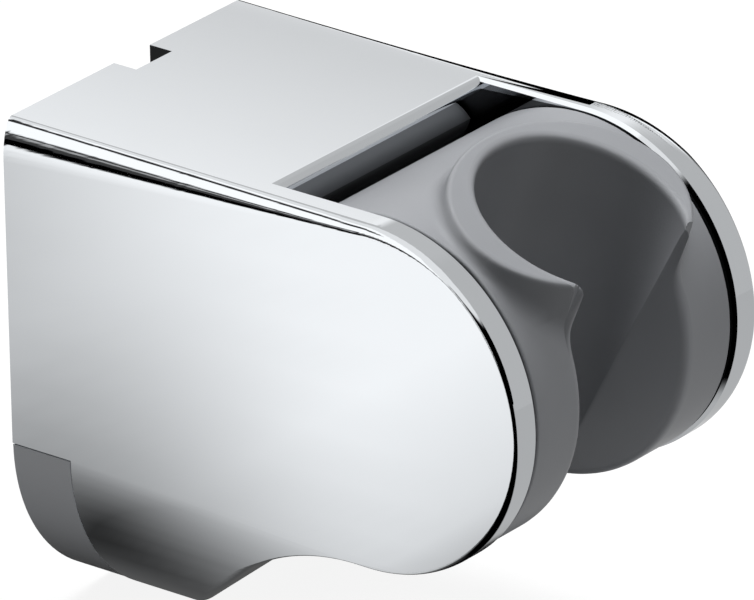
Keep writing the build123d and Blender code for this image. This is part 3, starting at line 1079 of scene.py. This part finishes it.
@dataclass
class Studio:
    """White studio: pale floor, soft overhead light, a tent that only the plating sees, and the camera."""

    crease: float = 30.0
    floor_drop: float = 0.2
    floor_reach: float = 6000.0
    floor_rows: int = 201
    floor_gather: int = 3
    floor_shade: float = 0.15
    floor_white: float = 0.89
    floor_light: float = 0.65
    floor_light_reach: tuple[float, float] = (50.0, 150.0)
    foot_depth: float = 52.0
    shade_reach: tuple[float, float] = (0.0, 32.0)
    pool_slant: float = 0.93
    pool_rise: tuple[float, float] = (22.0, 90.0)
    pool_level: tuple[float, float] = (1.08, 0.008)
    pool_level_span: tuple[float, float] = (0.85, 1.13)
    shade_level: tuple[float, float] = (0.03, 0.011)
    shade_level_span: tuple[float, float] = (0.028, 0.6)
    pool_fade: tuple[float, float] = (255.0, 285.0)
    under_levels: tuple[float, float] = (0.015, 0.09)
    under_rise: tuple[float, float] = (-34.0, -22.0)
    under_middle: float = 7.0
    under_edge: tuple[float, float] = (17.0, 27.0)
    front_span: tuple[float, float] = (-46.0, -58.0)
    side_front_span: tuple[float, float] = (-22.0, -48.0)
    side_start: tuple[float, float] = (40.0, 60.0)
    front_level: float = 0.5
    front_split: tuple[float, float] = (3.0, 10.0)
    tent_radius: float = 900.0
    tent_grid: tuple[tuple[float, float, int], ...] = ((-180.0, 180.0, 361), (-90.0, 90.0, 181))
    tent_level: float = 0.92
    panels: tuple[Panel, ...] = (
        Panel((-78.0, 22.0), (-90.0, 43.0), 0.0, 8.0),
        Panel((-160.0, -95.0), (4.0, 60.0), 1.22, 4.0),
        Panel((-160.0, -95.0), (-30.0, 8.0), 0.05, 2.0),
        Panel((-160.0, -95.0), (2.8, 4.6), 0.5, 1.2),
        Panel((-150.0, -126.0), (35.0, 45.0), 0.03, 3.0),
    )
    card_x: float = 150.0
    card_grid: tuple[tuple[float, float, int], ...] = ((-500.0, 500.0, 101), (-31.0, 400.0, 432))
    card_heights: tuple[float, ...] = (76.0, 84.0, 94.0, 101.0, 128.0, 138.0, 150.0)
    card_levels: tuple[float, ...] = (0.0, 1.25, 1.25, 0.74, 1.02, 1.05, 0.58)
    card_front: tuple[float, float] = (-40.0, -80.0)
    card_front_level: float = 0.54
    ambient: float = 0.06
    lamps: tuple[Lamp, ...] = (
        Lamp("overhead_softbox", (130.0, 170.0, 630.0), 400.0, 4.25),
        Lamp("front_fill", (0.0, -350.0, 550.0), 400.0, 1.35),
    )
    camera_azimuth: float = -51.73
    camera_elevation: float = 24.05
    camera_roll: float = -1.14
    camera_distance: float = 1500.0
    camera_aim: tuple[float, float, float] = (0.0, -34.0, 6.0)
    camera_shift: tuple[float, float] = (0.815, 2.68)
    camera_clip_metres: float = 20.0
    focal_pixels: float = 13461.4

    def build_world(self) -> None:
        """White background for the camera and the plating, a plain level for soft surfaces."""
        world = bpy.data.worlds.new("studio_world")
        world.use_nodes = True
        world.node_tree.nodes.clear()
        kit = NodeKit(world.node_tree)
        camera, mirror, clear = kit.rays("Camera", "Glossy", "Transmission")
        strength = self.ambient + (1.0 - self.ambient) * (camera + mirror + clear).at_most(1.0)
        light = kit.add("ShaderNodeBackground", {}, {"Color": (1.0, 1.0, 1.0, 1.0), "Strength": strength})
        kit.add("ShaderNodeOutputWorld", {}, {"Surface": light})
        bpy.context.scene.world = world

    def build_floor(self) -> None:
        """Pale floor under the foot: paper to the camera, a glow to the plating, a light to soft surfaces."""
        low = np.array(CAD_BOX[0]) / MM
        places = self.floor_reach * np.linspace(-1.0, 1.0, self.floor_rows) ** self.floor_gather
        x, y = np.meshgrid(places, places, indexing="ij")
        grid = np.stack([x, y, np.full(x.shape, low[2] - self.floor_drop)], axis=-1)
        floor = Shell.grid(grid).to_object("studio_floor", self.crease)
        self.set_glow(floor, self.floor_glow(floor))
        self.set_glow(floor, self.floor_lit(floor), "lit")
        material, kit = new_material("floor_paper")
        camera, mirror = kit.rays("Camera", "Glossy")
        shade = kit.add("ShaderNodeBsdfDiffuse", {}, {"Color": (self.floor_shade,) * 3 + (1.0,)})
        white = kit.add("ShaderNodeEmission", {}, {"Strength": self.floor_white})
        sheet = kit.add("ShaderNodeAddShader", {}, {0: shade, 1: white})
        lit, glow = self.glow_shader(kit, "lit"), self.glow_shader(kit)
        light = kit.add("ShaderNodeMixShader", {}, {0: mirror, 1: lit, 2: glow})
        seen = kit.add("ShaderNodeMixShader", {}, {0: camera, 1: light, 2: sheet})
        kit.add("ShaderNodeOutputMaterial", {}, {"Surface": seen})
        floor.data.materials.append(material)

    def floor_glow(self, floor: bpy.types.Object) -> Array:
        """Brightness of the floor in the plating.

        Each side has a pool of light that starts in the holder's shade along a slanting line and fades far
        off. The shade and the pool both brighten towards the back, and under the holder the floor is dark. In
        front, it is grey on the right and dark on the left.

        Args:
            floor: the floor's object.

        Returns:
            The level at each point of the floor.
        """
        x, y = self.floor_places(floor)
        away = np.abs(x) - self.pool_slant * y
        full = np.clip(self.pool_level[0] + self.pool_level[1] * y, *self.pool_level_span)
        shade = np.clip(self.shade_level[0] + self.shade_level[1] * y, *self.shade_level_span)
        pool = mix(shade, full, smooth_step(*self.pool_rise, away))
        pool *= 1.0 - smooth_step(*self.pool_fade, np.abs(x))
        under = mix(*self.under_levels, smooth_step(*self.under_rise, y))
        pool = mix(under, pool, smooth_step(*self.under_edge, np.abs(x - self.under_middle)))
        front = self.front_level * smooth_step(*self.front_split, x)
        aside = smooth_step(*self.side_start, np.abs(x))
        ahead = mix(smooth_step(*self.front_span, y), smooth_step(*self.side_front_span, y), aside)
        return mix(pool, front, ahead)

    @staticmethod
    def floor_places(floor: bpy.types.Object) -> tuple[Array, Array]:
        """Places of the floor's points, across and along the holder."""
        points = np.empty(len(floor.data.vertices) * 3)
        floor.data.vertices.foreach_get("co", points)
        x, y, _ = points.reshape(-1, 3).T / MM
        return x, y

    def floor_lit(self, floor: bpy.types.Object) -> Array:
        """Light that the floor sends to the soft surfaces: a pool round the holder, shaded under it."""
        x, y = self.floor_places(floor)
        foot_low = np.array(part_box("wall_plate")[0]) / MM
        beside = np.maximum(np.abs(x) + foot_low[0], 0.0)
        ahead = np.maximum(-self.foot_depth - y, 0.0)
        away = np.hypot(beside, ahead)
        pool = smooth_step(*self.shade_reach, away) * smooth_step(*self.floor_light_reach[::-1], away)
        return self.floor_light * pool

    @staticmethod
    def set_glow(thing: bpy.types.Object, level: Array, name: str = "glow") -> None:
        """Stores a level of light at each point of a studio piece."""
        glow = thing.data.attributes.new(name, "FLOAT", "POINT")
        glow.data.foreach_set("value", level.ravel().astype(np.float32))

    @staticmethod
    def glow_shader(kit: NodeKit, name: str = "glow") -> Wire:
        """Light of a stored level."""
        level = kit.add("ShaderNodeAttribute", {"attribute_name": name}, {}, "Fac")
        return kit.add("ShaderNodeEmission", {}, {"Strength": level})

    def build_tent(self) -> None:
        """Tent round the holder, a sphere whose panels are worked out for each of its points."""
        azimuth, elevation = np.meshgrid(*[np.linspace(*span) for span in self.tent_grid], indexing="ij")
        a, e = np.radians(azimuth), np.radians(elevation)
        away = np.stack([np.sin(a) * np.cos(e), -np.cos(a) * np.cos(e), np.sin(e)], axis=-1)
        shell = Shell.grid(holder_middle() + self.tent_radius * away)
        tent = shell.to_object("studio_tent", self.crease)
        level = np.full(azimuth.shape, self.tent_level)
        for panel in self.panels:
            level = mix(level, panel.level, panel.share(azimuth, elevation))
        self.only_mirrored(tent, level, "tent_cloth")

    def build_card(self) -> None:
        """Upright card on the right, whose level follows the height and is even in front."""
        y, z = np.meshgrid(*[np.linspace(*span) for span in self.card_grid], indexing="ij")
        shell = Shell.grid(np.stack([np.full(y.shape, self.card_x), y, z], axis=-1))
        card = shell.to_object("studio_card", self.crease)
        level = np.interp(z, self.card_heights, self.card_levels)
        level = mix(level, self.card_front_level, smooth_step(*self.card_front, y))
        self.only_mirrored(card, level, "card_board")

    def only_mirrored(self, thing: bpy.types.Object, level: Array, sheet: str) -> None:
        """Lights a studio piece and makes it show in mirrors alone.

        Args:
            thing: the piece.
            level: level of light at each of its points.
            sheet: name of its material.
        """
        self.set_glow(thing, level)
        material, kit = new_material(sheet)
        kit.add("ShaderNodeOutputMaterial", {}, {"Surface": self.glow_shader(kit)})
        thing.data.materials.append(material)
        thing.visible_camera = False
        thing.visible_diffuse = False
        thing.visible_shadow = False

    def build_camera(self) -> None:
        """Camera at the photograph's angle, with its focal length in pixels of the photograph's width."""
        angles = (self.camera_azimuth, self.camera_elevation, self.camera_roll)
        a, e, roll = [radians(angle) for angle in angles]
        back = Vector((sin(a) * cos(e), -cos(a) * cos(e), sin(e)))
        level = Vector((cos(a), sin(a), 0.0))
        upright = back.cross(level)
        right = cos(roll) * level + sin(roll) * upright
        up = -sin(roll) * level + cos(roll) * upright
        place = Vector(self.camera_aim) + self.camera_distance * back
        place += self.camera_shift[0] * right + self.camera_shift[1] * up
        lens = bpy.data.cameras.new("photo_camera")
        lens.lens = self.focal_pixels * lens.sensor_width / PHOTO_WIDTH
        lens.clip_end = self.camera_clip_metres
        camera = bpy.data.objects.new("photo_camera", lens)
        turn = Matrix((right, up, back)).transposed().to_4x4()
        camera.matrix_world = Matrix.Translation(place * MM) @ turn
        bpy.context.scene.collection.objects.link(camera)
        bpy.context.scene.camera = camera

    def build(self) -> None:
        """Builds the whole studio."""
        bpy.context.scene.view_settings.view_transform = "Standard"
        self.build_world()
        self.build_floor()
        self.build_tent()
        self.build_card()
        for lamp in self.lamps:
            lamp.build()
        self.build_camera()


def main() -> None:
    """Builds the studio and each sub-assembly, and reports the pieces."""
    logging.basicConfig(level=logging.INFO)
    Studio().build()
    pieces = [Housing().build(), Cradle().build(), WallPlate().build(), *InnerPieces().build()]
    for piece in pieces:
        LOG.info("%s: %d triangles", piece.name, len(piece.data.polygons))


if __name__ == "__main__":
    main()
